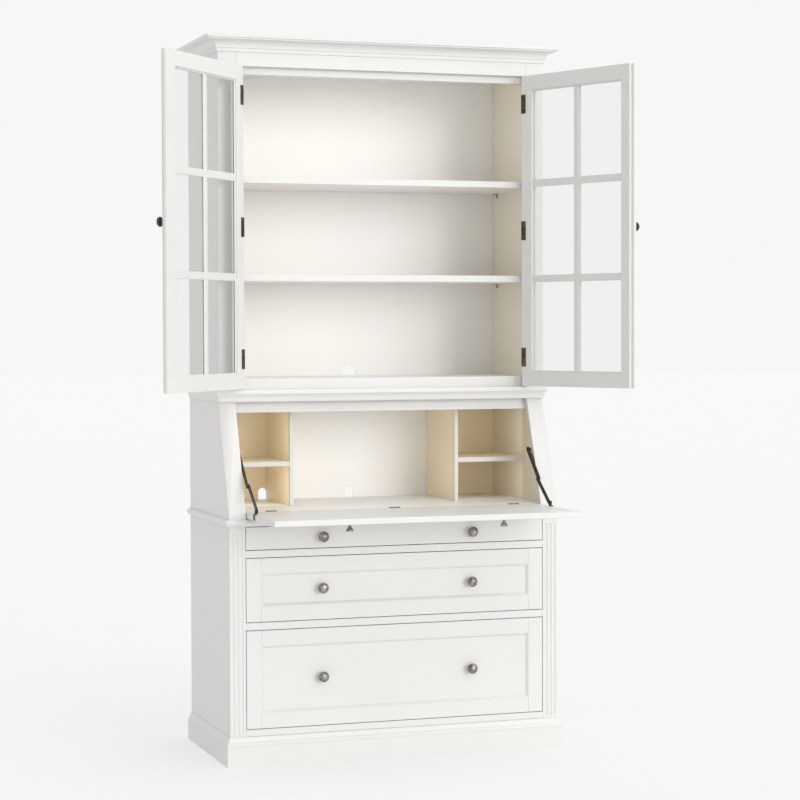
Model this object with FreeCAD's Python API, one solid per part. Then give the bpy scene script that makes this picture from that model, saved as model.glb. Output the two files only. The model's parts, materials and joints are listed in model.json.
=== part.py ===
"""Slant-front writing desk with three drawers and a glazed two-door hutch.

Millimetres, +Z up, +X to the right of a person facing the desk, front
towards -Y.  The origin is on the floor at the middle of the case footprint.
The writing lid is lowered and both glazed doors stand open.
"""
import math
import os

import FreeCAD
import Part

V = FreeCAD.Vector

# ---- driving dimensions ---------------------------------------------------
HALF_W = 546.0            # case half width
FRONT = -252.0            # face of the base frame
BACK = 264.0              # rear edge of the side panels
SIDE_T = 25.0             # side panel thickness
INNER = HALF_W - SIDE_T   # inside face of the side panels
BACK_Y = 257.0            # front face of the thin back panels
BACK_T = 6.0

PLINTH_OUT = 12.0
PLINTH_TOP = 64.0
PLINTH_CAP_TOP = 91.0

FRAME_T = 22.0            # base face frame thickness
PILASTER_IN = 495.0       # inner edge of the pilasters
RAIL_Z = [(91.0, 112.3), (421.0, 444.2), (645.6, 668.4), (743.0, 765.0)]
DRAWER_Z = {
    "large": (112.3, 421.0),
    "medium": (444.2, 645.6),
    "top": (668.4, 743.0),
}
DRAWER_GAP = 1.9
DRAWER_BOX_HALF = 480.0
DRAWER_BACK = 232.0
WAIST_TOP = 765.0

LID_T = 18.5
LID_HALF = 490.0
LID_LEN = 346.4
WRITING_Z = 786.0
LID_AXIS_Y = FRONT + 27.2
SLANT_TOP_Z = 1124.0
SLANT_RUN = 0.3585        # set-back of the slope for each unit of height
SLANT_T = 21.25           # stile thickness measured along Y
STILE_IN = 492.0

DESK_TOP_Z = 1163.0
HUTCH_FRONT = FRONT + 118.0
HUTCH_FRAME_T = 20.0
HUTCH_STILE_IN = 485.0
HUTCH_TOP = 2250.0
OPENING_TOP = 2173.0
CEILING_Z = 2184.0
HUTCH_FLOOR_Z = 1196.0
SHELF_Z = [(1504.0, 1525.0), (1812.0, 1832.0)]
SHELF_FRONT = HUTCH_FRONT + 28.0
STOP_FRONT = HUTCH_FRONT + 23.5
CROWN_Z = 2216.0
CROWN_TOP = 2266.0

PARTITION_X = (276.0, 288.0)
PIGEON_FRONT = FRONT + 225.0
PIGEON_SHELF_Z = (913.0, 928.0)
CABLE_X = (-303.0, 0.0, 303.0)

DOOR_Z = (1165.0, 2171.0)
DOOR_X = (0.5, 483.0)
DOOR_T = 20.0
DOOR_LAP = 10.5           # overlap of the doors where they meet
DOOR_LIP_T = 10.0         # thickness of the overlapping lip
HINGE_STILE = 45.0
MEETING_STILE = 46.0
DOOR_RAIL = 46.5
DOOR_BAR = 23.5
DOOR_BEAD = 5.0
DOOR_RECESS = 5.0         # glazing grille below the inner door face
DOOR_AXIS_X = 485.5
DOOR_AXIS_Y = HUTCH_FRONT - 3.7
DOOR_HINGE_Z = (1259.0, 1670.0, 2080.0)
DOOR_HINGE_LEN = 61.0
RIGHT_DOOR_OPEN = 113.0
LEFT_DOOR_OPEN = 131.8

LID_HINGE_X = (-405.0, 0.0, 405.0)
LID_HINGE_LEN = 36.0
KNOB_X = 248.0

STAY_WALL = (FRONT + 104.0, 958.0)
STAY_ELBOW = (FRONT + 10.0, 868.0)
STAY_LID = (FRONT - 88.0, 797.0)
UPPER_STAY_HALF_W = 8.5
LOWER_STAY_HALF_W = 7.0
STAY_PIN_R = 2.5


# ---- shape helpers --------------------------------------------------------
def block(x0, x1, y0, y1, z0, z1):
    return Part.makeBox(x1 - x0, y1 - y0, z1 - z0, V(x0, y0, z0))


def extruded(points, direction):
    wire = Part.makePolygon(points + points[:1])
    return Part.Face(wire).extrude(direction)


def prism_yz(points, x0, x1):
    return extruded([V(x0, y, z) for y, z in points], V(x1 - x0, 0, 0))


def prism_xz(points, y0, y1):
    return extruded([V(x, y0, z) for x, z in points], V(0, y1 - y0, 0))


def prism_xy(points, z0, z1):
    return extruded([V(x, y, z0) for x, y in points], V(0, 0, z1 - z0))


def rod(x, y, z, axis, radius, length):
    return Part.makeCylinder(radius, length, V(x, y, z), axis)


def mirrored(shape):
    return shape.mirror(V(0, 0, 0), V(1, 0, 0))


def pair(shape):
    return Part.makeCompound([shape, mirrored(shape)])


def fused(shapes):
    return shapes[0].fuse(shapes[1:]).removeSplitter()


def turned(profile, base, axis):
    """Solid of revolution from (radius, height) points along the axis."""
    points = [V(r, 0, h) for r, h in profile]
    wire = Part.makePolygon(points + points[:1])
    solid = Part.Face(wire).revolve(V(0, 0, 0), V(0, 0, 1), 360)
    solid.Placement = FreeCAD.Placement(base, FreeCAD.Rotation(V(0, 0, 1), axis))
    return solid


def wrap_moulding(profile, half_width, front, back):
    """Three mitred lengths of an (offset, z) profile round front and sides."""
    reach = max(offset for offset, _ in profile) + 1
    low = min(z for _, z in profile) - 1
    high = max(z for _, z in profile) + 1
    outer = half_width + reach
    front_zone = prism_xy(
        [(-half_width, front), (half_width, front),
         (outer, front - reach), (-outer, front - reach)], low, high)
    side_zone = prism_xy(
        [(half_width, front), (half_width, back),
         (outer, back), (outer, front - reach)], low, high)
    run = prism_yz([(front - o, z) for o, z in profile], -outer, outer)
    side = prism_xz([(half_width + o, z) for o, z in profile], front - reach, back)
    side = side.common(side_zone)
    return [run.common(front_zone), side, mirrored(side)]


def moulding_set(profile, half_width, front, back):
    return Part.makeCompound(wrap_moulding(profile, half_width, front, back))


def slant_y(z):
    """Front plane of the slanted stiles at height z."""
    return FRONT + (z - WAIST_TOP) * SLANT_RUN


# ---- base -----------------------------------------------------------------
def side_panel():
    top_y = slant_y(SLANT_TOP_Z) + SLANT_T
    return prism_yz(
        [(FRONT + FRAME_T, 0), (FRONT + FRAME_T, WAIST_TOP), (top_y, SLANT_TOP_Z),
         (BACK, SLANT_TOP_Z), (BACK, 0)], INNER, HALF_W)


def pilaster():
    """Front post with three round-ended flutes."""
    post = block(PILASTER_IN, HALF_W, FRONT, FRONT + FRAME_T, 0, WAIST_TOP)
    for x in (507.5, 521.5, 535.5):
        cutters = [rod(x, FRONT - 2.5, 101, V(0, 0, 1), 5.0, 618)]
        for z in (101, 719):
            cutters.append(Part.makeSphere(5.0, V(x, FRONT - 2.5, z)))
        post = post.cut(fused(cutters))
    return post


def drawer_rails():
    rails = []
    for low, high in RAIL_Z:
        rails.append(block(-PILASTER_IN, PILASTER_IN, FRONT, FRONT + FRAME_T, low, high))
    return Part.makeCompound(rails)


def base_floor():
    """Bottom board with a foot under its middle."""
    board = block(-INNER, INNER, FRONT + FRAME_T, BACK_Y, 74, 92)
    return Part.makeCompound([board, block(-35, 35, -35, 35, 0, 74)])


def plinth():
    profile = [(0, 0), (PLINTH_OUT, 0), (PLINTH_OUT, PLINTH_TOP), (0, PLINTH_TOP)]
    return moulding_set(profile, HALF_W, FRONT, BACK)


def plinth_cap():
    profile = [(0, PLINTH_TOP), (12, PLINTH_TOP), (12, 68), (10.5, 72), (7.5, 75),
               (5.5, 79), (4.8, 83), (3.6, 87), (1.5, PLINTH_CAP_TOP), (0, PLINTH_CAP_TOP)]
    return moulding_set(profile, HALF_W, FRONT, BACK)


def waist_moulding():
    profile = [(0, 743)]
    for step in range(9):
        angle = math.radians(-80 + 20 * step)
        profile.append((1 + 11 * math.cos(angle), 754 + 11 * math.sin(angle)))
    profile.append((0, WAIST_TOP))
    return moulding_set(profile, HALF_W, FRONT, BACK)


def drawer_runners():
    """Bearers under each drawer and guide blocks beside it."""
    parts = []
    front = FRONT + FRAME_T
    for name in ("large", "medium", "top"):
        low, high = DRAWER_Z[name]
        parts.append(block(455, INNER, front, BACK_Y, low - 18, low))
        parts.append(block(484.5, INNER, front, BACK_Y, low, min(low + 55, high)))
    return Part.makeCompound([pair(part) for part in parts])


# ---- desk section ---------------------------------------------------------
def slant_stile():
    top = slant_y(SLANT_TOP_Z)
    return prism_yz(
        [(FRONT, WAIST_TOP), (top, SLANT_TOP_Z), (top + SLANT_T, SLANT_TOP_Z),
         (FRONT + SLANT_T, WAIST_TOP)], STILE_IN, HALF_W)


def lid_head_rail():
    gap = SLANT_T + 1.2
    low = slant_y(1090) + gap
    high = slant_y(SLANT_TOP_Z) + gap
    return prism_yz(
        [(low, 1090), (high, SLANT_TOP_Z), (high + 18, SLANT_TOP_Z), (low + 18, 1090)],
        -INNER, INNER)


def desk_surface():
    rear = block(-INNER, INNER, FRONT + 30, BACK_Y, WAIST_TOP, WRITING_Z)
    front = block(-STILE_IN, STILE_IN, FRONT + 28, FRONT + 30, WAIST_TOP, WRITING_Z)
    board = fused([rear, front])
    for x in LID_HINGE_X:
        board = board.cut(hinge_pocket(x, FRONT + 27, FRONT + 31))
    return board


def hinge_pocket(x, y0, y1):
    """Relief for a hinge barrel at the joint line of the lid."""
    half = LID_HINGE_LEN / 2 + 0.6
    return block(x - half, x + half, y0, y1, WRITING_Z - 3.7, WRITING_Z + 1)


def desk_top():
    profile = [(0, SLANT_TOP_Z), (1.5, 1126), (2.5, 1131), (3.5, 1137), (5.5, 1142),
               (8.5, 1146), (10, 1148), (12, 1149.5), (12, DESK_TOP_Z), (0, DESK_TOP_Z)]
    edge = wrap_moulding(profile, HALF_W, HUTCH_FRONT, BACK)
    core = block(-HALF_W, HALF_W, HUTCH_FRONT, BACK, SLANT_TOP_Z, DESK_TOP_Z)
    return fused([core] + edge)


def base_back():
    return block(-INNER, INNER, BACK_Y, BACK_Y + BACK_T, 20, 776)


def desk_back():
    """Rear panel with an arched cable hole in each bay."""
    panel = block(-INNER, INNER, BACK_Y, BACK_Y + BACK_T, 776, SLANT_TOP_Z)
    return panel.cut([cable_arch(x, WRITING_Z, 14, 24) for x in CABLE_X])


def cable_arch(x, floor, radius, spring):
    """Arched cutter through a rear panel, standing on the given floor."""
    shaft = block(x - radius, x + radius, BACK_Y - 2, BACK_Y + 8, floor, floor + spring)
    head = rod(x, BACK_Y - 2, floor + spring, V(0, 1, 0), radius, 10)
    return fused([shaft, head])


def partition():
    near, far = PARTITION_X
    return block(near, far, PIGEON_FRONT, BACK_Y, WRITING_Z, SLANT_TOP_Z)


def pigeonhole_shelf():
    low, high = PIGEON_SHELF_Z
    return block(PARTITION_X[1], INNER, PIGEON_FRONT, BACK_Y, low, high)


# ---- hutch ----------------------------------------------------------------
def hutch_side():
    return block(INNER, HALF_W, HUTCH_FRONT + HUTCH_FRAME_T, BACK, DESK_TOP_Z, HUTCH_TOP)


def hutch_stile():
    rear = HUTCH_FRONT + HUTCH_FRAME_T
    return block(HUTCH_STILE_IN, HALF_W, HUTCH_FRONT, rear, DESK_TOP_Z, HUTCH_TOP)


def hutch_top_rail():
    rear = HUTCH_FRONT + HUTCH_FRAME_T
    return block(-HUTCH_STILE_IN, HUTCH_STILE_IN, HUTCH_FRONT, rear, OPENING_TOP, HUTCH_TOP)


def hutch_floor():
    return block(-INNER, INNER, STOP_FRONT, BACK_Y, DESK_TOP_Z, HUTCH_FLOOR_Z)


def hutch_ceiling():
    return block(-INNER, INNER, HUTCH_FRONT + HUTCH_FRAME_T, BACK_Y, CEILING_Z, CEILING_Z + 18)


def hutch_back():
    panel = block(-INNER, INNER, BACK_Y, BACK_Y + BACK_T, DESK_TOP_Z, HUTCH_TOP)
    return panel.cut(cable_arch(0, HUTCH_FLOOR_Z, 26, 8))


def door_stop():
    return block(-INNER, INNER, STOP_FRONT, STOP_FRONT + 12, 2150, CEILING_Z)


def crown():
    profile = [(0, CROWN_Z), (4, CROWN_Z), (4, 2228), (7, 2228), (7, 2231)]
    for step in range(1, 7):
        angle = math.radians(15 * step)
        profile.append((7 + 23 * (1 - math.cos(angle)), 2231 + 21 * math.sin(angle)))
    profile += [(36, 2252), (36, 2256), (41.5, 2257), (41.5, CROWN_TOP), (0, CROWN_TOP)]
    return moulding_set(profile, HALF_W, HUTCH_FRONT, BACK)


def hutch_shelf(low, high):
    return block(-INNER + 0.5, INNER - 0.5, SHELF_FRONT, BACK_Y - 1, low, high)


def shelf_pins():
    """Four spoon pins under each loose shelf."""
    pins = []
    for low, _ in SHELF_Z:
        for y in (SHELF_FRONT + 45, BACK_Y - 45):
            plate = block(INNER - 14, INNER, y - 5, y + 5, low - 2.5, low)
            stem = block(INNER - 3, INNER, y - 5, y + 5, low - 14, low - 2.5)
            pins.append(pair(fused([plate, stem])))
    return Part.makeCompound(pins)


def door_catches():
    """Two small strike studs near the right end of the stop."""
    return Part.makeCompound([rod(x, STOP_FRONT, 2161, V(0, -1, 0), 3.2, 1.5) for x in (446, 457)])


# ---- hinges ---------------------------------------------------------------
def butt_hinge(radius, length, offset, leaf, gap, width):
    """Fixed and moving leaves about the Z axis, both reaching along +Y.

    offset is the middle of the gap between the leaves, measured from the pin.
    """
    third = length / 3
    pin_r = radius * 0.45
    half = length / 2
    fixed_x = offset + gap / 2
    moving_x = offset - gap / 2 - leaf
    clear = radius + 0.6
    pin = rod(0, 0, -half, V(0, 0, 1), pin_r, length)
    fixed = [pin, block(fixed_x, fixed_x + leaf, clear, width, -half, half)]
    for z0 in (-half, half - third + 0.3):
        fixed.append(rod(0, 0, z0, V(0, 0, 1), radius, third - 0.3))
        fixed.append(block(fixed_x, fixed_x + leaf, 0, clear, z0, z0 + third - 0.3))
    moving = [
        rod(0, 0, -third / 2, V(0, 0, 1), radius, third),
        block(moving_x, moving_x + leaf, clear, width, -half, half),
        block(moving_x, moving_x + leaf, 0, clear, -third / 2, third / 2),
    ]
    bore = rod(0, 0, -third / 2 - 1, V(0, 0, 1), pin_r + 0.06, third + 2)
    return fused(fixed), fused(moving).cut(bore)


def door_hinges():
    """Frame leaves and closed door leaves for the right-hand door."""
    fixed, moving = butt_hinge(3.2, DOOR_HINGE_LEN, -1.5, 0.8, 0.4, 22.5)
    inner = HUTCH_FRONT + DOOR_T - DOOR_AXIS_Y
    half = DOOR_HINGE_LEN / 2
    edge = block(-2.5, -1.7, 20, inner + 1.2, -half, half)
    wrap = block(-21.5, -1.7, inner, inner + 1.2, -half, half)
    moving = fused([moving, edge, wrap])
    frame_leaves = []
    door_leaves = []
    for z in DOOR_HINGE_Z:
        spot = V(DOOR_AXIS_X, DOOR_AXIS_Y, z)
        frame_leaves.append(fixed.translated(spot))
        door_leaves.append(moving.translated(spot))
    return Part.makeCompound(frame_leaves), Part.makeCompound(door_leaves)


def lid_hinges():
    """Desk leaves and lid leaves along the joint line of the lid."""
    fixed, moving = butt_hinge(2.8, LID_HINGE_LEN, 0.0, 0.6, 0.4, 17.0)
    turn = FreeCAD.Rotation(V(0, 1, 0), V(0, 0, -1), V(-1, 0, 0), "XYZ")
    desk_leaves = []
    lid_leaves = []
    for x in LID_HINGE_X:
        spot = FreeCAD.Placement(V(x, LID_AXIS_Y, WRITING_Z), turn)
        for shape, group in ((fixed, desk_leaves), (moving, lid_leaves)):
            placed = shape.copy()
            placed.Placement = spot
            group.append(placed)
    return Part.makeCompound(desk_leaves), Part.makeCompound(lid_leaves)


# ---- glazed doors (right-hand door, closed) -------------------------------
def door_opening():
    """Edges of the opening inside the stiles and rails."""
    return (DOOR_X[0] + MEETING_STILE, DOOR_X[1] - HINGE_STILE,
            DOOR_Z[0] + DOOR_RAIL, DOOR_Z[1] - DOOR_RAIL)


def pane_openings():
    x0, x1, z0, z1 = door_opening()
    wide = (x1 - x0 - 2 * DOOR_BEAD - DOOR_BAR) / 2
    tall = (z1 - z0 - 2 * DOOR_BEAD - 2 * DOOR_BAR) / 3
    panes = []
    for column in range(2):
        for row in range(3):
            left = x0 + DOOR_BEAD + column * (wide + DOOR_BAR)
            low = z0 + DOOR_BEAD + row * (tall + DOOR_BAR)
            panes.append((left, left + wide, low, low + tall))
    return panes


def rebate(pane, front, rear):
    """Block over one pane opening and the ledge round it."""
    x0, x1, z0, z1 = pane
    edge = DOOR_BEAD
    return block(x0 - edge, x1 + edge, front, rear, z0 - edge, z1 + edge)


def door_frame(right):
    """Frame with a front lip (right door) or a rear tongue (left door)."""
    front, rear = HUTCH_FRONT, HUTCH_FRONT + DOOR_T
    grille = rear - DOOR_RECESS
    edge = DOOR_X[0]
    if right:
        body = block(edge + DOOR_LAP, DOOR_X[1], front, rear, *DOOR_Z)
        lap = block(edge, edge + DOOR_LAP, front, front + DOOR_LIP_T, *DOOR_Z)
    else:
        body = block(edge, DOOR_X[1], front, rear, *DOOR_Z)
        lap = block(edge - DOOR_LAP, edge, front + DOOR_LIP_T + 0.8, rear, *DOOR_Z)
    x0, x1, z0, z1 = door_opening()
    cutters = [block(x0, x1, grille, rear + 1, z0, z1)]
    for pane in pane_openings():
        cutters.append(block(pane[0], pane[1], front - 1, rear, pane[2], pane[3]))
        cutters.append(rebate(pane, grille - 6, rear))
    return fused([body, lap]).cut(cutters)


def door_glass():
    front = HUTCH_FRONT + DOOR_T - DOOR_RECESS - 6
    return Part.makeCompound([rebate(pane, front, front + 3) for pane in pane_openings()])


def glazing_beads():
    """Loose beads that hold each pane in its rebate."""
    rear = HUTCH_FRONT + DOOR_T - DOOR_RECESS
    beads = []
    for pane in pane_openings():
        middle = block(pane[0], pane[1], rear - 4, rear + 1, pane[2], pane[3])
        beads.append(rebate(pane, rear - 3, rear).cut(middle))
    return Part.makeCompound(beads)


def door_knob():
    profile = [(0, 0), (9.5, 0), (9.5, 2), (6.5, 4), (5, 9), (6, 13), (12, 16), (14.5, 19),
               (15, 21.5), (13.5, 24.5), (9, 26.5), (0, 27.5)]
    return turned(profile, V(DOOR_X[0] + 22, HUTCH_FRONT, 1668), V(0, -1, 0))


def opened(shape, right):
    """Swing a closed right-hand door part open, mirrored for the left."""
    angle = RIGHT_DOOR_OPEN if right else LEFT_DOOR_OPEN
    moved = shape.copy()
    moved.rotate(V(DOOR_AXIS_X, DOOR_AXIS_Y, 0), V(0, 0, 1), angle)
    return moved if right else mirrored(moved)


# ---- writing lid ----------------------------------------------------------
def lid_panel():
    back = LID_AXIS_Y - 0.8
    front = back - LID_LEN
    panel = block(-LID_HALF, LID_HALF, front, back, WRITING_Z - LID_T, WRITING_Z)
    edges = []
    for edge in panel.Edges:
        box = edge.BoundBox
        if box.YMax < front + 0.1 and box.XLength > 1:
            edges.append(edge)
    panel = panel.makeFillet(2.5, edges)
    for x in LID_HINGE_X:
        panel = panel.cut(hinge_pocket(x, LID_AXIS_Y - 3.8, back + 1))
    return panel


def lid_knobs():
    profile = [(0, 0), (6, 0), (5, 3), (4.5, 6), (6, 9), (9, 13), (11, 17), (11.5, 20),
               (10, 21.5), (0, 22)]
    knob = turned(profile, V(KNOB_X, FRONT - 288, WRITING_Z - LID_T), V(0, 0, -1))
    return pair(knob)


def stay_arm(x0, x1, start, end, half_w):
    """Flat link with round ends, bored at its start, between (y, z) points."""
    (y0, z0), (y1, z1) = start, end
    length = math.hypot(y1 - y0, z1 - z0)
    step_y = -(z1 - z0) / length * half_w
    step_z = (y1 - y0) / length * half_w
    bar = prism_yz(
        [(y0 + step_y, z0 + step_z), (y1 + step_y, z1 + step_z),
         (y1 - step_y, z1 - step_z), (y0 - step_y, z0 - step_z)], x0, x1)
    eyes = [rod(x0, y, z, V(1, 0, 0), half_w, x1 - x0) for y, z in (start, end)]
    bore = rod(x0 - 1, y0, z0, V(1, 0, 0), STAY_PIN_R + 0.05, x1 - x0 + 2)
    return fused([bar] + eyes).cut(bore)


def stay_upper():
    return stay_arm(484.2, 488.2, STAY_WALL, STAY_ELBOW, UPPER_STAY_HALF_W)


def stay_lower():
    arm = stay_arm(479.4, 483.2, STAY_LID, STAY_ELBOW, LOWER_STAY_HALF_W)
    rivet = rod(478.4, STAY_ELBOW[0], STAY_ELBOW[1], V(1, 0, 0), 3.5, 1.5)
    return fused([arm, rivet])


def stay_bracket():
    """Wall block and pin that carry the upper link."""
    y, z = STAY_WALL
    plate = block(INNER - 3, INNER, y - 5, y + 15, z - 16, z + 16)
    post = rod(488.7, y, z, V(1, 0, 0), 5, INNER - 3 - 488.7)
    pin = rod(483.6, y, z, V(1, 0, 0), STAY_PIN_R, 6)
    return fused([plate, post, pin])


def stay_anchor():
    """Angle foot on the lid's edge with a pin for the lower link."""
    y, z = STAY_LID
    foot = block(484, 491.2, y - 9, y + 9, WRITING_Z, WRITING_Z + 3)
    end_plate = block(490, 491.2, y - 9, y + 9, WRITING_Z - 16, WRITING_Z + 3)
    ear = fused([block(484, 488, y - 5, y + 5, WRITING_Z, z), rod(484, y, z, V(1, 0, 0), 6.5, 4)])
    pin = rod(478.4, y, z, V(1, 0, 0), STAY_PIN_R, 6)
    return fused([foot, end_plate, ear, pin])


# ---- drawers --------------------------------------------------------------
def drawer_front(name):
    """Inset front; the two deep ones are framed with a sunk panel."""
    low, high = DRAWER_Z[name]
    half = PILASTER_IN - DRAWER_GAP
    z0, z1 = low + DRAWER_GAP, high - DRAWER_GAP
    front = block(-half, half, FRONT, FRONT + 20, z0, z1)
    if name == "top":
        return front
    field = block(-half + 56, half - 56, FRONT - 1, FRONT + 7, z0 + 56, z1 - 56)
    lip = Part.makeLoft([rectangle(half - 48, z0 + 48, z1 - 48, FRONT),
                         rectangle(half - 56, z0 + 56, z1 - 56, FRONT + 7)], True)
    return front.cut(fused([field, lip]))


def rectangle(half, z0, z1, y):
    corners = [V(-half, y, z0), V(half, y, z0), V(half, y, z1), V(-half, y, z1)]
    return Part.makePolygon(corners + corners[:1])


def drawer_box(name):
    low, high = DRAWER_Z[name]
    z0, z1 = low + 0.5, high - 14
    front = FRONT + 20
    half = DRAWER_BOX_HALF
    box = block(-half, half, front, DRAWER_BACK, z0, z1)
    hollow = block(-half + 12, half - 12, front + 12, DRAWER_BACK - 12, z0 + 14, z1 + 1)
    under = block(-half + 12, half - 12, front + 12, DRAWER_BACK - 12, z0 - 1, z0 + 8)
    return box.cut([hollow, under])


def drawer_knobs(name):
    low, high = DRAWER_Z[name]
    z = (low + high) / 2
    face = FRONT if name == "top" else FRONT + 7
    profile = [(0, 0), (9, 0), (9, 2), (6.5, 4), (5.5, 10), (7, 14), (13, 17), (16, 20),
               (16.5, 23), (14.5, 26), (9, 28.5), (0, 29.5)]
    return pair(turned(profile, V(KNOB_X, face, z), V(0, -1, 0)))


# ---- assembly -------------------------------------------------------------
def build():
    frame_leaves, door_leaves = door_hinges()
    desk_leaves, lid_leaves = lid_hinges()
    nodes = {
        "side_panel_right": side_panel(),
        "side_panel_left": mirrored(side_panel()),
        "pilaster_right": pilaster(),
        "pilaster_left": mirrored(pilaster()),
        "drawer_rails": drawer_rails(),
        "drawer_runners": drawer_runners(),
        "base_floor": base_floor(),
        "base_back": base_back(),
        "plinth": plinth(),
        "plinth_cap": plinth_cap(),
        "waist_moulding": waist_moulding(),
        "desk_surface": desk_surface(),
        "slant_stile_right": slant_stile(),
        "slant_stile_left": mirrored(slant_stile()),
        "lid_head_rail": lid_head_rail(),
        "desk_top": desk_top(),
        "desk_back": desk_back(),
        "partitions": pair(partition()),
        "pigeonhole_shelves": pair(pigeonhole_shelf()),
        "hutch_side_right": hutch_side(),
        "hutch_side_left": mirrored(hutch_side()),
        "hutch_stiles": pair(hutch_stile()),
        "hutch_top_rail": hutch_top_rail(),
        "hutch_floor": hutch_floor(),
        "hutch_ceiling": hutch_ceiling(),
        "hutch_back": hutch_back(),
        "door_stop": door_stop(),
        "door_catches": door_catches(),
        "crown": crown(),
        "shelf_lower": hutch_shelf(*SHELF_Z[0]),
        "shelf_upper": hutch_shelf(*SHELF_Z[1]),
        "shelf_pins": shelf_pins(),
        "hinge_frame_leaves": pair(frame_leaves),
        "lid_hinge_desk_leaves": desk_leaves,
        "lid_hinge_leaves": lid_leaves,
        "lid_panel": lid_panel(),
        "lid_knobs": lid_knobs(),
        "lid_stay_anchors": pair(stay_anchor()),
        "stay_brackets": pair(stay_bracket()),
        "stay_upper_right": stay_upper(),
        "stay_upper_left": mirrored(stay_upper()),
        "stay_lower_right": stay_lower(),
        "stay_lower_left": mirrored(stay_lower()),
    }
    for side, right in (("right", True), ("left", False)):
        door_parts = {
            "frame": Part.makeCompound([door_frame(right), glazing_beads()]),
            "glass": door_glass(),
            "knob": door_knob(),
            "leaves": door_leaves,
        }
        for part, shape in door_parts.items():
            nodes["door_" + side + "_" + part] = opened(shape, right)
    for name in DRAWER_Z:
        nodes["drawer_" + name + "_front"] = drawer_front(name)
        nodes["drawer_" + name + "_box"] = drawer_box(name)
        nodes["drawer_" + name + "_knobs"] = drawer_knobs(name)
    return nodes


os.makedirs("parts", exist_ok=True)
for node_name, node_shape in build().items():
    node_shape.exportStep("parts/" + node_name + ".step")
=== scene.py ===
import json
import math

import bmesh
import bpy
from mathutils import Matrix, Vector


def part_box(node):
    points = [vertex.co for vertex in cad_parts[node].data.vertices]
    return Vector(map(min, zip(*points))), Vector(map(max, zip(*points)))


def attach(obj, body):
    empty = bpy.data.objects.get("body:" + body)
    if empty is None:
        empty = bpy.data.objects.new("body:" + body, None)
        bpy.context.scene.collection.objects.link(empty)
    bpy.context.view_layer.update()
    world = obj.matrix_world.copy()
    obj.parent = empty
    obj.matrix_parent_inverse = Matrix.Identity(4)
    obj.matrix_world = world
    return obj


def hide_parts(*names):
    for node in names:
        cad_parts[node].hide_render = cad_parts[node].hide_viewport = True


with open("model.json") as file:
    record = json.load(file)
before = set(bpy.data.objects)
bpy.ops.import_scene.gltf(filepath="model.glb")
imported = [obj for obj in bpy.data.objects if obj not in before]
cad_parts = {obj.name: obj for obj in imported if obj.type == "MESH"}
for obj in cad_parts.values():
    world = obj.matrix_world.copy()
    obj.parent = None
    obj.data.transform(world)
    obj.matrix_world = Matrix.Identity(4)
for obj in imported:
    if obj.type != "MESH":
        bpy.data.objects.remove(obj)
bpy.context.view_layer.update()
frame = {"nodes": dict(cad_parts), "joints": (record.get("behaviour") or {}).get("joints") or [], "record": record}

MM = 0.001
PARTITION_X = 0.282


BOX = {name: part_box(name) for name in frame["nodes"]}
JOINTS = {joint["name"]: joint for joint in frame["joints"]}


# ---- node materials -------------------------------------------------------
def new_material(name, base, roughness, metallic=0.0):
    """Material with a Principled shader; returns it with its tree and shader."""
    material = bpy.data.materials.new(name)
    material.use_nodes = True
    tree = material.node_tree
    shader = tree.nodes["Principled BSDF"]
    shader.inputs["Base Color"].default_value = (*base, 1.0)
    shader.inputs["Roughness"].default_value = roughness
    shader.inputs["Metallic"].default_value = metallic
    material.diffuse_color = (*base, 1.0)
    return material, tree, shader


def add(tree, kind, **values):
    """New shader node with some of its inputs or properties set."""
    node = tree.nodes.new(kind)
    for key, value in values.items():
        if key in node.inputs:
            node.inputs[key].default_value = value
        else:
            setattr(node, key, value)
    return node


def stretched_coords(tree, scale):
    coords = add(tree, "ShaderNodeTexCoord")
    mapping = add(tree, "ShaderNodeMapping", Scale=scale)
    tree.links.new(coords.outputs["Object"], mapping.inputs["Vector"])
    return mapping.outputs["Vector"]


def noise(tree, vector, scale, detail=3.0):
    node = add(tree, "ShaderNodeTexNoise", Scale=scale, Detail=detail)
    tree.links.new(vector, node.inputs["Vector"])
    return node.outputs["Fac"]


def ramp(tree, factor, stops):
    """Colour ramp from (position, colour) stops."""
    node = add(tree, "ShaderNodeValToRGB")
    elements = node.color_ramp.elements
    for index, (position, colour) in enumerate(stops):
        element = elements[index] if index < 2 else elements.new(position)
        element.position = position
        element.color = (*colour, 1.0)
    tree.links.new(factor, node.inputs["Fac"])
    return node.outputs["Color"]


def bump(tree, shader, height, strength, distance):
    node = add(tree, "ShaderNodeBump", Strength=strength, Distance=distance)
    tree.links.new(height, node.inputs["Height"])
    tree.links.new(node.outputs["Normal"], shader.inputs["Normal"])


def vary_roughness(tree, shader, factor, low, high):
    node = add(tree, "ShaderNodeMapRange")
    node.inputs["To Min"].default_value = low
    node.inputs["To Max"].default_value = high
    tree.links.new(factor, node.inputs["Value"])
    tree.links.new(node.outputs["Result"], shader.inputs["Roughness"])


def shade(colour, factor):
    return tuple(min(1.0, channel * factor) for channel in colour)


def facing_inward(tree):
    """1 on faces that look towards X = 0, else 0; the side panels take painted shade in cream there."""
    coords = add(tree, "ShaderNodeTexCoord")
    geometry = add(tree, "ShaderNodeNewGeometry")
    place = add(tree, "ShaderNodeSeparateXYZ")
    normal = add(tree, "ShaderNodeSeparateXYZ")
    product = add(tree, "ShaderNodeMath", operation="MULTIPLY")
    test = add(tree, "ShaderNodeMath", operation="LESS_THAN")
    test.inputs[1].default_value = -0.3
    tree.links.new(coords.outputs["Object"], place.inputs[0])
    tree.links.new(geometry.outputs["True Normal"], normal.inputs[0])
    tree.links.new(place.outputs["X"], product.inputs[0])
    tree.links.new(normal.outputs["X"], product.inputs[1])
    tree.links.new(product.outputs[0], test.inputs[0])
    return test.outputs[0]


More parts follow.
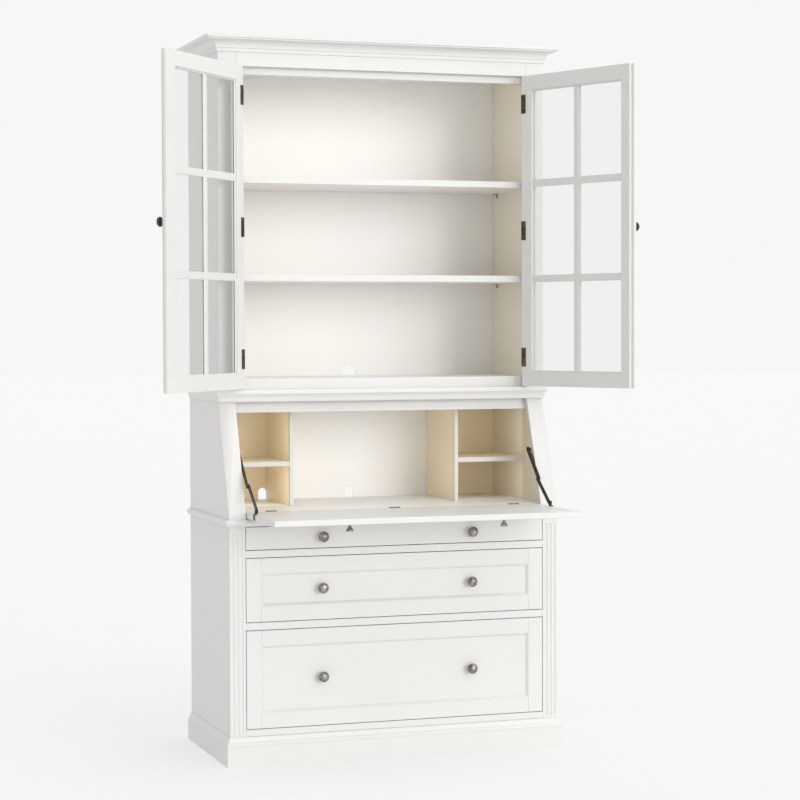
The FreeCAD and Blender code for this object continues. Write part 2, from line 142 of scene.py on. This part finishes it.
def facing_away_from_front(tree):
    """0 on faces that look towards -Y, else 1; the 1 faces take painted light on shelves and painted shade in
    pigeonholes.
    """
    geometry = add(tree, "ShaderNodeNewGeometry")
    normal = add(tree, "ShaderNodeSeparateXYZ")
    test = add(tree, "ShaderNodeMath", operation="GREATER_THAN")
    test.inputs[1].default_value = -0.5
    tree.links.new(geometry.outputs["True Normal"], normal.inputs[0])
    tree.links.new(normal.outputs["Y"], test.inputs[0])
    return test.outputs[0]


def beside_partitions(tree):
    """1 on the front face behind the pigeonholes, 0 in the middle of the desk and outside; the desk back takes
    painted shade where it is 1.
    """
    coords = add(tree, "ShaderNodeTexCoord")
    place = add(tree, "ShaderNodeSeparateXYZ")
    distance = add(tree, "ShaderNodeMath", operation="ABSOLUTE")
    test = add(tree, "ShaderNodeMath", operation="GREATER_THAN")
    test.inputs[1].default_value = PARTITION_X
    tree.links.new(coords.outputs["Object"], place.inputs[0])
    tree.links.new(place.outputs["X"], distance.inputs[0])
    tree.links.new(distance.outputs[0], test.inputs[0])
    front_only = add(tree, "ShaderNodeMath", operation="SUBTRACT")
    tree.links.new(test.outputs[0], front_only.inputs[0])
    tree.links.new(facing_away_from_front(tree), front_only.inputs[1])
    front_only.use_clamp = True
    return front_only.outputs[0]


PAINT_COAT = 0.08
PAINT_COAT_ROUGHNESS = 0.3


def painted(name, colour, inner=None, mask=None):
    """Sprayed satin paint: faint tone drift, orange peel and brushed grain.

    inner, where given, is the colour of the faces that the mask picks: painted light or painted shade on the same
    white paint.
    """
    material, tree, shader = new_material(name, colour, 0.42)
    drift = noise(tree, stretched_coords(tree, (1.0, 1.0, 1.0)), 3.0)
    tone = ramp(tree, drift, [(0.35, shade(colour, 0.985)), (0.65, shade(colour, 1.01))])
    if inner:
        light_shade_tone = ramp(tree, drift, [(0.35, shade(inner, 0.985)), (0.65, shade(inner, 1.01))])
        mix = add(tree, "ShaderNodeMix", data_type="RGBA")
        tree.links.new(mask(tree), mix.inputs["Factor"])
        tree.links.new(tone, mix.inputs["A"])
        tree.links.new(light_shade_tone, mix.inputs["B"])
        tone = mix.outputs["Result"]
    tree.links.new(tone, shader.inputs["Base Color"])
    peel = noise(tree, stretched_coords(tree, (1.0, 1.0, 1.0)), 420.0, 2.0)
    grain = noise(tree, stretched_coords(tree, (30.0, 30.0, 1.2)), 9.0, 5.0)
    mixed = add(tree, "ShaderNodeMath", operation="MULTIPLY_ADD")
    mixed.inputs[1].default_value = 0.35
    tree.links.new(grain, mixed.inputs[0])
    tree.links.new(peel, mixed.inputs[2])
    bump(tree, shader, mixed.outputs[0], 0.05, 0.0006)
    vary_roughness(tree, shader, drift, 0.36, 0.47)
    shader.inputs["Coat Weight"].default_value = PAINT_COAT
    shader.inputs["Coat Roughness"].default_value = PAINT_COAT_ROUGHNESS
    return material


def timber(name, light, dark):
    """Sealed softwood with long grain along Y and fine pores."""
    material, tree, shader = new_material(name, light, 0.5)
    grain = noise(tree, stretched_coords(tree, (55.0, 1.6, 55.0)), 1.4, 6.0)
    colour = ramp(tree, grain, [(0.30, dark), (0.55, light), (0.80, shade(light, 1.08))])
    tree.links.new(colour, shader.inputs["Base Color"])
    bump(tree, shader, grain, 0.12, 0.0008)
    vary_roughness(tree, shader, grain, 0.42, 0.6)
    return material


def aged_metal(name, dark, bright, roughness, grain_scale=260.0):
    """Antiqued plating: dark recesses, brighter rubbed patches, fine pitting."""
    material, tree, shader = new_material(name, dark, roughness, metallic=0.95)
    cloud = noise(tree, stretched_coords(tree, (1.0, 1.0, 1.0)), 70.0, 5.0)
    colour = ramp(tree, cloud, [(0.38, dark), (0.70, bright)])
    tree.links.new(colour, shader.inputs["Base Color"])
    pits = noise(tree, stretched_coords(tree, (1.0, 1.0, 1.0)), grain_scale, 3.0)
    bump(tree, shader, pits, 0.12, 0.0004)
    vary_roughness(tree, shader, cloud, roughness - 0.08, roughness + 0.12)
    return material


GLASS_FACE_ON = 0.02      # opacity looking straight through a pane
GLASS_EDGE_ON = 0.12      # and along it


def window_glass(name):
    """Clear pane, a little denser at a glancing view, faintly wavy."""
    material, tree, shader = new_material(name, (0.30, 0.33, 0.32), 0.03)
    shader.inputs["IOR"].default_value = 1.45
    angle = add(tree, "ShaderNodeLayerWeight", Blend=0.5)
    density = add(tree, "ShaderNodeMapRange")
    density.inputs["To Min"].default_value = GLASS_FACE_ON
    density.inputs["To Max"].default_value = GLASS_EDGE_ON
    tree.links.new(angle.outputs["Facing"], density.inputs["Value"])
    tree.links.new(density.outputs["Result"], shader.inputs["Alpha"])
    wave = noise(tree, stretched_coords(tree, (1.0, 1.0, 1.0)), 6.0, 1.0)
    bump(tree, shader, wave, 0.02, 0.002)
    material.surface_render_method = "BLENDED"
    return material


WHITE = (0.715, 0.710, 0.690)
# Painted light: the inside is the same white paint as the outside; this brighter white stands in for light that
# the inside lacks.
PAINTED_LIGHT_WHITE = (0.900, 0.885, 0.860)
# Painted shade: the inner faces are white paint too; this cream stands in for the warm shade inside the case.
PAINTED_SHADE_CREAM = (0.880, 0.820, 0.680)
# Painted shade: a deeper, warmer cream for the shade in the pigeonholes; the real paint there is white.
PAINTED_DEEP_SHADE_CREAM = (0.930, 0.800, 0.580)
MATERIALS = {
    "white_paint": painted("white_paint", WHITE),
    # cream_paint is this cream of painted shade, not a second paint.
    "cream_paint": painted("cream_paint", PAINTED_SHADE_CREAM),
    "bare_wood": timber("bare_wood", (0.62, 0.45, 0.27), (0.47, 0.31, 0.16)),
    "glass": window_glass("glass"),
    "pewter_knob": aged_metal("pewter_knob", (0.17, 0.155, 0.135), (0.42, 0.40, 0.36), 0.34),
    "bronze_knob": aged_metal("bronze_knob", (0.045, 0.038, 0.032), (0.14, 0.12, 0.10), 0.36),
    "bronze_hinge": aged_metal("bronze_hinge", (0.05, 0.043, 0.035), (0.17, 0.15, 0.12), 0.42),
    "bronze_stay": aged_metal("bronze_stay", (0.035, 0.03, 0.026), (0.10, 0.09, 0.08), 0.45),
    "steel_fitting": aged_metal("steel_fitting", (0.30, 0.29, 0.27), (0.55, 0.54, 0.52), 0.35),
}
# Side panels: white outside, and painted shade in cream on the faces that look into the case.
SIDE_PAINT = painted("side_paint", WHITE, PAINTED_SHADE_CREAM, facing_inward)
# The backs are wholly in the painted-light white; the shelves keep white front edges and get painted light on
# their other faces.
BACK_PAINT = painted("back_paint", PAINTED_LIGHT_WHITE)
# The desk back gets painted light in the middle and painted shade in cream behind the pigeonholes.
DESK_BACK_PAINT = painted("desk_back_paint", PAINTED_LIGHT_WHITE, PAINTED_DEEP_SHADE_CREAM, beside_partitions)
SHELF_PAINT = painted("shelf_paint", WHITE, PAINTED_LIGHT_WHITE, facing_away_from_front)
# Partitions and pigeonhole shelves keep white front edges and get painted shade in cream on their other faces.
PIGEONHOLE_PAINT = painted("pigeonhole_paint", WHITE, PAINTED_DEEP_SHADE_CREAM, facing_away_from_front)
NODE_PAINT = {
    "side_panel_left": SIDE_PAINT,
    "side_panel_right": SIDE_PAINT,
    "hutch_side_left": SIDE_PAINT,
    "hutch_side_right": SIDE_PAINT,
    "hutch_back": BACK_PAINT,
    "base_back": BACK_PAINT,
    "desk_back": DESK_BACK_PAINT,
    "hutch_floor": SHELF_PAINT,
    "hutch_ceiling": SHELF_PAINT,
    "shelf_lower": SHELF_PAINT,
    "shelf_upper": SHELF_PAINT,
    "desk_surface": SHELF_PAINT,
    "partitions": PIGEONHOLE_PAINT,
    "pigeonhole_shelves": PIGEONHOLE_PAINT,
}


# ---- mesh helpers ---------------------------------------------------------
def finish_mesh(name, bm, slot, body, place=None, soften=0.0, smooth=False):
    """Turn a bmesh into a piece on a body, with its slot's material."""
    bmesh.ops.recalc_face_normals(bm, faces=bm.faces)
    if place is not None:
        bm.transform(place)
    mesh = bpy.data.meshes.new(name)
    bm.to_mesh(mesh)
    bm.free()
    if smooth:
        mesh.shade_smooth()
    piece = bpy.data.objects.new(name, mesh)
    bpy.context.scene.collection.objects.link(piece)
    mesh.materials.append(MATERIALS[slot])
    if soften:
        add_bevel(piece, soften)
    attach(piece, body)
    return piece


def add_bevel(piece, width, weld=False):
    """Slightly eased edges; weld first where the mesh has split corners."""
    if weld:
        join = piece.modifiers.new("join", "WELD")
        join.merge_threshold = 0.00002
    bevel = piece.modifiers.new("eased_edges", "BEVEL")
    bevel.width = width
    bevel.segments = 2
    bevel.limit_method = "ANGLE"
    bevel.angle_limit = math.radians(38)
    bevel.harden_normals = True


def add_box(bm, low, high):
    size = [h - l for l, h in zip(low, high)]
    centre = [(l + h) / 2 for l, h in zip(low, high)]
    matrix = Matrix.Translation(centre) @ Matrix.Diagonal((*size, 1.0))
    bmesh.ops.create_cube(bm, size=1.0, matrix=matrix)


def boxes(name, spans, slot, body, place=None, soften=0.0009):
    bm = bmesh.new()
    for low, high in spans:
        add_box(bm, low, high)
    return finish_mesh(name, bm, slot, body, place, soften)


def add_prism(bm, outline, z0, z1):
    """Upright prism over a closed outline of (x, y) points."""
    foot = [bm.verts.new((x, y, z0)) for x, y in outline]
    head = [bm.verts.new((x, y, z1)) for x, y in outline]
    bm.faces.new(foot[::-1])
    bm.faces.new(head)
    for k in range(len(outline)):
        after = (k + 1) % len(outline)
        bm.faces.new((foot[k], foot[after], head[after], head[k]))


def add_ring(bm, x0, x1, z0, z1, section):
    """Mitred frame: section is a closed list of (inset, y) points."""
    loops = []
    for inset, y in section:
        loops.append([
            bm.verts.new((x, y, z)) for x, z in (
                (x0 + inset, z0 + inset), (x1 - inset, z0 + inset),
                (x1 - inset, z1 - inset), (x0 + inset, z1 - inset))])
    for loop, following in zip(loops, loops[1:] + loops[:1]):
        for corner in range(4):
            after = (corner + 1) % 4
            bm.faces.new((loop[corner], loop[after], following[after], following[corner]))


def smooth_profile(points, steps=5):
    """Catmull-Rom curve through (radius, height) points."""
    ends = [points[0]] + list(points) + [points[-1]]
    curve = []
    for a, b, c, d in zip(ends, ends[1:], ends[2:], ends[3:]):
        for step in range(steps):
            t = step / steps
            curve.append(tuple(
                0.5 * (2 * q + (r - p) * t + (2 * p - 5 * q + 4 * r - s) * t * t
                       + (3 * q - p - 3 * r + s) * t ** 3)
                for p, q, r, s in zip(a, b, c, d)))
    curve.append(points[-1])
    return curve


def add_turning(bm, profile, origin, axis, segments=48):
    """Solid of revolution; the profile starts and ends at radius zero."""
    turn = Matrix.Translation(origin) @ Vector(axis).to_track_quat("Z", "Y").to_matrix().to_4x4()
    rings = []
    for radius, height in profile:
        if radius < 1e-6:
            rings.append([bm.verts.new(turn @ Vector((0, 0, height)))])
            continue
        rings.append([
            bm.verts.new(turn @ Vector((
                radius * math.cos(2 * math.pi * k / segments),
                radius * math.sin(2 * math.pi * k / segments), height)))
            for k in range(segments)])
    for ring, following in zip(rings, rings[1:]):
        for k in range(segments):
            after = (k + 1) % segments
            if len(ring) == 1:
                bm.faces.new((ring[0], following[k], following[after]))
            elif len(following) == 1:
                bm.faces.new((ring[k], ring[after], following[0]))
            else:
                bm.faces.new((ring[k], ring[after], following[after], following[k]))


def in_metres(points):
    return [(radius * MM, height * MM) for radius, height in points]


# ---- CAD nodes ------------------------------------------------------------
SLOT_OF = {part["node"]: part["material_slot"] for part in frame["record"]["subparts"]}
EASED = {
    "white_paint": 0.0012,
    "cream_paint": 0.0010,
    "bare_wood": 0.0010,
    "bronze_stay": 0.0005,
}
PLINTH_EASED = 0.0003     # small, so the sharp feet of the plinth stay above the floor
for node_name, node in frame["nodes"].items():
    node_slot = SLOT_OF[node_name]
    node.data.materials.clear()
    node.data.materials.append(NODE_PAINT.get(node_name, MATERIALS[node_slot]))
    if node_slot in EASED:
        width = PLINTH_EASED if node_name == "plinth" else EASED[node_slot]
        add_bevel(node, width, weld=True)


# ---- knobs ----------------------------------------------------------------
MUSHROOM = in_metres([
    (0, 0), (9, 0), (9.2, 1.2), (8.2, 2.2), (6.2, 4), (5.4, 8), (5.8, 12), (8.5, 14.4),
    (13.2, 16), (16.1, 18.4), (16.5, 21), (15.2, 24), (11.5, 26.8), (6, 28.9), (0, 29.5)])
DOOR_MUSHROOM = in_metres([
    (0, 0), (9.2, 0), (9.5, 1.2), (8.0, 2.4), (5.8, 4.5), (5.2, 8), (5.8, 11.5), (9, 14),
    (13.2, 16), (15, 19), (14.9, 21.5), (13.2, 24.4), (9.2, 26.6), (4.5, 27.4), (0, 27.5)])
BELL = in_metres([
    (0, 0), (5.8, 0), (6, 1.2), (4.8, 2.8), (4.4, 5.5), (5.2, 8.5), (7.4, 12), (9.8, 15.2),
    (11.3, 18), (11.5, 20), (10.6, 21.4), (6, 21.9), (0, 22)])


def turned_pieces(nodes_name, profile, spots, axis, slot, body, place=None):
    """Lathe-turned pieces that stand for one CAD node of knobs."""
    for label, spot in spots:
        bm = bmesh.new()
        add_turning(bm, smooth_profile(profile), spot, axis)
        piece = finish_mesh(nodes_name + "_" + label, bm, slot, body, place, smooth=True)
        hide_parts(nodes_name)


for drawer in ("drawer_top", "drawer_medium", "drawer_large"):
    low, high = BOX[drawer + "_knobs"]
    x = high.x - MUSHROOM[10][0]
    height = (low.z + high.z) / 2
    turned_pieces(
        drawer + "_knobs", MUSHROOM,
        [("left", (-x, high.y, height)), ("right", (x, high.y, height))],
        (0, -1, 0), "pewter_knob", drawer)

low, high = BOX["lid_knobs"]
x = high.x - 0.0115
turned_pieces(
    "lid_knobs", BELL,
    [("left", (-x, (low.y + high.y) / 2, high.z)), ("right", (x, (low.y + high.y) / 2, high.z))],
    (0, 0, -1), "pewter_knob", "lid")


# ---- drawer fronts --------------------------------------------------------
STILE = 0.048
SLOPE = 0.008
SUNK = 0.007
JOINT = 0.00012


def framed_front(drawer):
    """Stiles over rails round a sunk panel with a sloping inner edge."""
    low, high = BOX[drawer + "_front"]
    x0, x1, z0, z1 = low.x, high.x, low.z, high.z
    y0, y1 = low.y, high.y
    stiles = boxes(
        drawer + "_stiles",
        [((x0, y0, z0), (x0 + STILE, y1, z1)), ((x1 - STILE, y0, z0), (x1, y1, z1))],
        "white_paint", drawer)
    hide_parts(drawer + "_front")
    gap = x0 + STILE + JOINT
    boxes(
        drawer + "_rails",
        [((gap, y0, z0), (-gap, y1, z0 + STILE)), ((gap, y0, z1 - STILE), (-gap, y1, z1))],
        "white_paint", drawer)
    bm = bmesh.new()
    add_ring(bm, x0 + STILE, x1 - STILE, z0 + STILE, z1 - STILE,
             [(0, y0 + 0.0006), (0.0012, y0 + 0.0006), (SLOPE - 0.001, y0 + SUNK - 0.0008),
              (SLOPE, y0 + SUNK), (SLOPE, y0 + SUNK + 0.004), (0, y0 + SUNK + 0.004)])
    finish_mesh(drawer + "_panel_slope", bm, "white_paint", drawer)
    boxes(
        drawer + "_panel",
        [((x0 + STILE, y0 + SUNK, z0 + STILE), (x1 - STILE, y1 - 0.004, z1 - STILE))],
        "white_paint", drawer, soften=0.0)


framed_front("drawer_medium")
framed_front("drawer_large")


# ---- glazed doors ---------------------------------------------------------
DOOR_EDGE = 0.0005
DOOR_OUTER = 0.483
DOOR_LAP = 0.0105
DOOR_LIP_T = 0.010
LAP_GAP = 0.0008
HINGE_STILE = 0.045
MEETING_STILE = 0.046
DOOR_RAIL = 0.0465
DOOR_BAR = 0.0235
DOOR_BEAD = 0.005
DOOR_RECESS = 0.005
KNOB_OFFSET = 0.022
KNOB_HEIGHT = 1.668
HUTCH_STILE_IN = 0.485


def closed_to_rest(side):
    """Carries a closed door's geometry to where the door stands at rest."""
    joint = JOINTS["door_%s_swing" % side]
    pivot = Vector(joint["pos_m"])
    angle = math.radians(-joint["range_deg"][0])
    turn = Matrix.Rotation(angle, 4, Vector(joint["axis"]))
    return Matrix.Translation(pivot) @ turn @ Matrix.Translation(-pivot)


def meeting_outline(side, y0, y1, inner):
    """Plan of the meeting stile: the right door laps over the left one."""
    if side == "right":
        body, step = DOOR_EDGE + DOOR_LAP, y0 + DOOR_LIP_T
    else:
        body, step = DOOR_EDGE - DOOR_LAP, y0 + DOOR_LIP_T + LAP_GAP
    return [(DOOR_EDGE, y0), (inner, y0), (inner, y1), (body, y1), (body, step), (DOOR_EDGE, step)]


def glazed_door(side):
    sign = 1 if side == "right" else -1
    body = "door_" + side
    place = closed_to_rest(side)
    z0, z1 = BOX[body + "_frame"][0].z, BOX[body + "_frame"][1].z
    y0, y1 = BOX["hutch_stiles"][0].y, BOX["hutch_stiles"][1].y
    grille = y1 - DOOR_RECESS

    def span(xa, xb, za, zb, ya=y0, yb=y1):
        xa, xb = sorted((sign * xa, sign * xb))
        return ((xa, ya, za), (xb, yb, zb))

    left, right = DOOR_EDGE + MEETING_STILE, DOOR_OUTER - HINGE_STILE
    foot, head = z0 + DOOR_RAIL, z1 - DOOR_RAIL
    hinge_stile = boxes(body + "_hinge_stile", [span(right, DOOR_OUTER, z0, z1)],
                        "white_paint", body, place)
    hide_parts(body + "_frame")
    bm = bmesh.new()
    outline = [(sign * x, y) for x, y in meeting_outline(side, y0, y1, left)]
    add_prism(bm, outline, z0, z1)
    finish_mesh(body + "_meeting_stile", bm, "white_paint", body, place, soften=0.0009)
    boxes(body + "_rails",
          [span(left + JOINT, right - JOINT, z0, foot),
           span(left + JOINT, right - JOINT, head, z1)],
          "white_paint", body, place)

    wide = (right - left - 2 * DOOR_BEAD - DOOR_BAR) / 2
    tall = (head - foot - 2 * DOOR_BEAD - 2 * DOOR_BAR) / 3
    core = DOOR_BAR - 2 * DOOR_BEAD
    bar_y = y0 + 0.001
    centre = (left + right - core) / 2
    uprights = [span(centre, centre + core, foot, head, bar_y, grille)]
    crossbars = []
    for row in (1, 2):
        low_z = foot + row * (2 * DOOR_BEAD + tall + core) - core
        for a, b in ((left, centre), (centre + core, right)):
            crossbars.append(span(a + JOINT, b - JOINT, low_z, low_z + core, bar_y, grille))
    boxes(body + "_muntins_upright", uprights, "white_paint", body, place, soften=0.0006)
    boxes(body + "_muntins_cross", crossbars, "white_paint", body, place, soften=0.0006)

    front = bmesh.new()
    back = bmesh.new()
    glass_y = grille - 0.006
    bead_y = glass_y + 0.003
    quarter = [
        (DOOR_BEAD * math.sin(math.radians(a)),
         y0 + 0.0022 + DOOR_BEAD * (1 - math.cos(math.radians(a))))
        for a in (0, 18, 36, 54, 72, 90)]
    for column in range(2):
        for row in range(3):
            xa = left + column * (wide + DOOR_BAR)
            za = foot + row * (tall + DOOR_BAR)
            x_low, x_high = sorted((sign * xa, sign * (xa + wide + 2 * DOOR_BEAD)))
            pane = (x_low, x_high, za, za + tall + 2 * DOOR_BEAD)
            add_ring(front, *pane, quarter + [(DOOR_BEAD, glass_y), (0, glass_y)])
            add_ring(back, *pane,
                     [(0, grille), (DOOR_BEAD - 0.0012, grille), (DOOR_BEAD, grille - 0.0012),
                      (DOOR_BEAD, bead_y), (0, bead_y)])
    finish_mesh(body + "_sticking", front, "white_paint", body, place)
    finish_mesh(body + "_glazing_beads", back, "white_paint", body, place)
    turned_pieces(
        body + "_knob", DOOR_MUSHROOM,
        [("turned", (sign * (DOOR_EDGE + KNOB_OFFSET), y0, KNOB_HEIGHT))],
        (0, -1, 0), "bronze_knob", body, place)


for door_side in ("left", "right"):
    glazed_door(door_side)


# ---- screws ---------------------------------------------------------------
SCREW_R = 0.0028
SCREW_RISE = 0.00012      # nearly flush, as a closed door leaves 0.4 mm between the leaves
SLOT_RISE = 0.00002
SCREW_OFFSETS = ((-0.021, 0.5), (0.0, 1.9), (0.021, 1.1))    # along the leaf, slot angle
LEAF_HALF = 0.0305
FINIAL = [(0, 0), (3.1, 0), (2.6, 0.8), (1.8, 1.4), (2.4, 2.4), (2.2, 3.4), (0, 4.2)]


def add_screw(bm, spot, axis, turn):
    """Flush countersunk head with a straight slot, on a surface."""
    dome = [(SCREW_R, 0.0), (SCREW_R * 0.92, 0.00006), (SCREW_R * 0.6, 0.0001),
            (0.0, SCREW_RISE)]
    add_turning(bm, [(0.0, -0.0003), (SCREW_R, -0.0003)] + dome, spot, axis, 20)
    frame_matrix = Vector(axis).to_track_quat("Z", "Y").to_matrix().to_4x4()
    slot_size = Matrix.Diagonal((SCREW_R * 1.6, 0.0006, 0.0003, 1.0))
    slot_matrix = (Matrix.Translation(Vector(spot) + Vector(axis) * SLOT_RISE) @ frame_matrix
                   @ Matrix.Rotation(turn, 4, "Z") @ slot_size)
    bmesh.ops.create_cube(bm, size=1.0, matrix=slot_matrix)


def door_hinge_fittings(side):
    """Screws on both leaves of each door hinge, and a finial on each pin."""
    sign = 1 if side == "right" else -1
    pivot = JOINTS["door_%s_swing" % side]["pos_m"]
    wrap_y = BOX["hutch_stiles"][1].y + 0.0012
    moving = bmesh.new()
    fixed = bmesh.new()
    finials = bmesh.new()
    low, high = BOX["hinge_frame_leaves"]
    for z in (low.z + LEAF_HALF, pivot[2], high.z - LEAF_HALF):
        for offset, turn in SCREW_OFFSETS:
            add_screw(moving, (sign * (HUTCH_STILE_IN - 0.0111), wrap_y, z + offset),
                      (0, 1, 0), turn)
            add_screw(fixed, (sign * (HUTCH_STILE_IN - 0.0008), pivot[1] + 0.0125, z + offset),
                      (-sign, 0, 0), turn)
        for end in (-1, 1):
            add_turning(finials, smooth_profile(in_metres(FINIAL), 3),
                        (pivot[0], pivot[1], z + end * LEAF_HALF), (0, 0, end), 20)
    finish_mesh("door_%s_leaf_screws" % side, moving, "bronze_hinge", "door_" + side,
                closed_to_rest(side))
    finish_mesh("frame_leaf_screws_" + side, fixed, "bronze_hinge", "case")
    finish_mesh("hinge_finials_" + side, finials, "bronze_hinge", "case", smooth=True)


for door_side in ("left", "right"):
    door_hinge_fittings(door_side)


# ---- light, floor and camera ----------------------------------------------
BACKDROP = 0.93
DIM_SIDE = 0.42
DIM_ABOVE = 0.18          # the sky keeps one brightness below this height
DIM_FULL = 0.30           # and is fully dimmed on the left above this one
FLOOR_TONE = 0.32
FLOOR_MOTTLE = 0.004
FLOOR_RADIUS = 60.0
FLOOR_GLOW = 0.55
HUTCH_FILL_Y = -0.095
DESK_FILL_Y = -0.02
BAY_FILLS = [
    ("hutch_low", -0.50, 0.50, 1.21, 1.49, HUTCH_FILL_Y, 0.05),
    ("hutch_middle", -0.50, 0.50, 1.54, 1.80, HUTCH_FILL_Y, 0.05),
    ("hutch_high", -0.50, 0.50, 1.85, 2.14, HUTCH_FILL_Y, 0.14),
    ("desk_centre", -0.26, 0.26, 0.80, 1.08, DESK_FILL_Y, 0.20),
    ("desk_left_low", -0.51, -0.30, 0.80, 0.90, DESK_FILL_Y, 1.25),
    ("desk_left_high", -0.51, -0.30, 0.94, 1.08, DESK_FILL_Y, 0.85),
    ("desk_right_low", 0.30, 0.51, 0.80, 0.90, DESK_FILL_Y, 0.50),
    ("desk_right_high", 0.30, 0.51, 0.94, 1.08, DESK_FILL_Y, 0.50),
]


def soft_sun(name, towards, strength, spread):
    """Broad even light arriving from the given direction."""
    data = bpy.data.lights.new(name, "SUN")
    data.energy = strength
    data.angle = math.radians(spread)
    lamp = bpy.data.objects.new(name, data)
    lamp.rotation_euler = Vector(towards).to_track_quat("Z", "Y").to_euler()
    bpy.context.scene.collection.objects.link(lamp)


def bay_fill(name, x0, x1, z0, z1, y, radiance):
    """One-sided panel across the mouth of a bay that lifts its shadows."""
    data = bpy.data.lights.new(name, "AREA")
    data.shape = "RECTANGLE"
    data.size = x1 - x0
    data.size_y = z1 - z0
    data.energy = radiance * math.pi * data.size * data.size_y
    lamp = bpy.data.objects.new(name, data)
    lamp.location = ((x0 + x1) / 2, y, (z0 + z1) / 2)
    lamp.rotation_euler = (math.radians(90), 0, 0)
    bpy.context.scene.collection.objects.link(lamp)


def studio():
    scene = bpy.context.scene
    scene.view_settings.view_transform = "Standard"
    scene.view_settings.look = "None"
    world = bpy.data.worlds.new("studio")
    world.use_nodes = True
    background = world.node_tree.nodes["Background"]
    background.inputs["Color"].default_value = (1.0, 1.0, 1.0, 1.0)
    sky = world.node_tree
    coords = add(sky, "ShaderNodeTexCoord")
    direction = add(sky, "ShaderNodeSeparateXYZ")
    fade = add(sky, "ShaderNodeMapRange")
    fade.inputs["From Min"].default_value = -0.9
    fade.inputs["From Max"].default_value = -0.1
    fade.inputs["To Min"].default_value = BACKDROP - DIM_SIDE
    fade.inputs["To Max"].default_value = 0.0
    raised = add(sky, "ShaderNodeMapRange")
    raised.inputs["From Min"].default_value = DIM_ABOVE
    raised.inputs["From Max"].default_value = DIM_FULL
    dimming = add(sky, "ShaderNodeMath", operation="MULTIPLY")
    strength = add(sky, "ShaderNodeMath", operation="SUBTRACT")
    strength.inputs[0].default_value = BACKDROP
    sky.links.new(coords.outputs["Generated"], direction.inputs[0])
    sky.links.new(direction.outputs["X"], fade.inputs["Value"])
    sky.links.new(direction.outputs["Z"], raised.inputs["Value"])
    sky.links.new(fade.outputs["Result"], dimming.inputs[0])
    sky.links.new(raised.outputs["Result"], dimming.inputs[1])
    sky.links.new(dimming.outputs[0], strength.inputs[1])
    sky.links.new(strength.outputs[0], background.inputs["Strength"])
    scene.world = world
    soft_sun("key", (0.40, -0.90, 0.14), 1.21, 35)
    soft_sun("top", (0.10, -0.25, 0.95), 0.85, 60)
    for fill in BAY_FILLS:
        bay_fill(*fill)

    bm = bmesh.new()
    bmesh.ops.create_circle(bm, cap_ends=True, segments=96, radius=FLOOR_RADIUS)
    mesh = bpy.data.meshes.new("floor")
    bm.to_mesh(mesh)
    bm.free()
    floor = bpy.data.objects.new("floor", mesh)
    scene.collection.objects.link(floor)
    material, tree, shader = new_material("floor", (FLOOR_TONE, FLOOR_TONE, FLOOR_TONE), 0.9)
    mottle = noise(tree, stretched_coords(tree, (1.0, 1.0, 1.0)), 2.0)
    low, high = FLOOR_TONE - FLOOR_MOTTLE, FLOOR_TONE + FLOOR_MOTTLE
    tree.links.new(
        ramp(tree, mottle, [(0.3, (low, low, low)), (0.7, (high, high, high))]),
        shader.inputs["Base Color"])
    shader.inputs["Specular IOR Level"].default_value = 0.1
    shader.inputs["Emission Color"].default_value = (1.0, 1.0, 1.0, 1.0)
    shader.inputs["Emission Strength"].default_value = FLOOR_GLOW
    mesh.materials.append(material)


CAMERA_PLACE = (-2.2263, -6.8362, 1.3506)
CAMERA_YAW = 0.3274
CAMERA_PITCH = -0.032
CAMERA_ROLL = -0.003
LENS = 99.3


def camera():
    data = bpy.data.cameras.new("camera")
    data.lens = LENS
    data.sensor_width = 36.0
    data.clip_end = 200.0
    forward = Vector((math.sin(CAMERA_YAW) * math.cos(CAMERA_PITCH),
                      math.cos(CAMERA_YAW) * math.cos(CAMERA_PITCH), math.sin(CAMERA_PITCH)))
    view = bpy.data.objects.new("camera", data)
    view.location = CAMERA_PLACE
    level = forward.to_track_quat("-Z", "Y").to_matrix().to_4x4()
    view.rotation_euler = (level @ Matrix.Rotation(CAMERA_ROLL, 4, "Z")).to_euler()
    bpy.context.scene.collection.objects.link(view)
    bpy.context.scene.camera = view


studio()
camera()
